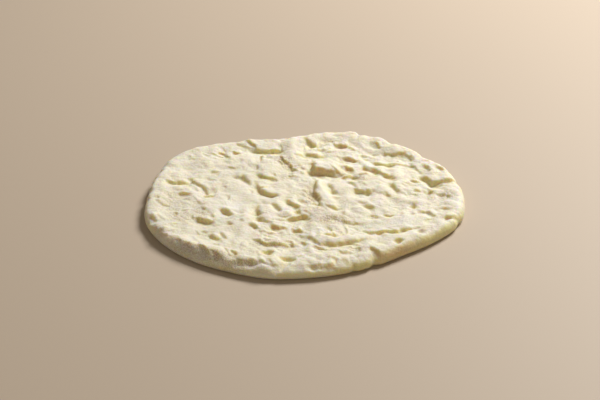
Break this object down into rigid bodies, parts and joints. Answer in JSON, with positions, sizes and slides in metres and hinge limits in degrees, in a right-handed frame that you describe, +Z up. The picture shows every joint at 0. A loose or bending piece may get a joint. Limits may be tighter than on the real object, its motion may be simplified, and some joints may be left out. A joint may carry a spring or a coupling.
{
  "type": "raw pinsa base",
  "caption": "Raw flatbread dough base: a flour-dusted oval, hand-stretched and dimpled by fingertips, with a plump rounded rim and a flat underside.",
  "frame": {"origin": "middle of the flat underside's bounding box, on the surface that the dough lies on", "axes": "+Z up, through the dough's thickness; +X along its longest extent; the side nearest the viewer faces -Y"},
  "size_m": [0.295, 0.2502, 0.0144],
  "materials": {
    "dough": "matt, floured"
  },
  "bodies": {
    "root": {"dough_base": "dough"}
  },
  "joints": []
}
